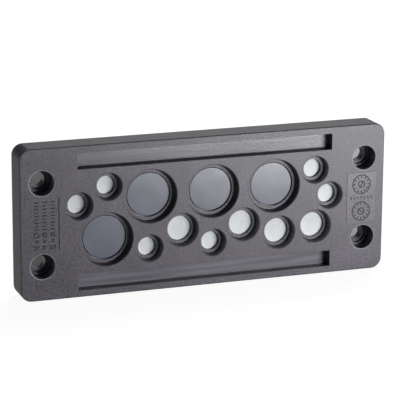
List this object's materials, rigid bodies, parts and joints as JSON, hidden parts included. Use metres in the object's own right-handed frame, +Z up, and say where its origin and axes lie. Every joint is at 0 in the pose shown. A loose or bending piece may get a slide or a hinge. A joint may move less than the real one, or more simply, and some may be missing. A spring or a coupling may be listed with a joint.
{
  "type": "cable entry plate",
  "caption": "Flat rectangular plate with rounded corners that closes a panel cut-out and leads cables through round membranes of several sizes.",
  "frame": {"origin": "centre of the four screw holes in the back face, which lies on the panel", "axes": "+X along the plate's length, +Z up as it is fixed on a wall, +Y into the panel, front facing -Y"},
  "size_m": [0.147, 0.0119, 0.0584],
  "materials": {
    "frame_polyamide": "fine moulded texture, dark grey",
    "large_membrane_elastomer": "smooth, slightly glossy, blue-grey",
    "pale_membrane_elastomer": "smooth, satin, off-white",
    "seal_elastomer": "matt, near black"
  },
  "bodies": {
    "root": {"frame": "frame_polyamide", "panel_seal": "seal_elastomer", "large_membrane_1": "large_membrane_elastomer", "large_membrane_2": "large_membrane_elastomer", "large_membrane_3": "large_membrane_elastomer", "large_membrane_4": "large_membrane_elastomer", "medium_membrane_1": "pale_membrane_elastomer", "medium_membrane_2": "pale_membrane_elastomer", "medium_membrane_3": "pale_membrane_elastomer", "medium_membrane_4": "pale_membrane_elastomer", "small_membrane_1": "pale_membrane_elastomer", "small_membrane_2": "pale_membrane_elastomer", "small_membrane_3": "pale_membrane_elastomer", "small_membrane_4": "pale_membrane_elastomer", "small_membrane_5": "pale_membrane_elastomer", "small_membrane_6": "pale_membrane_elastomer"}
  },
  "joints": []
}
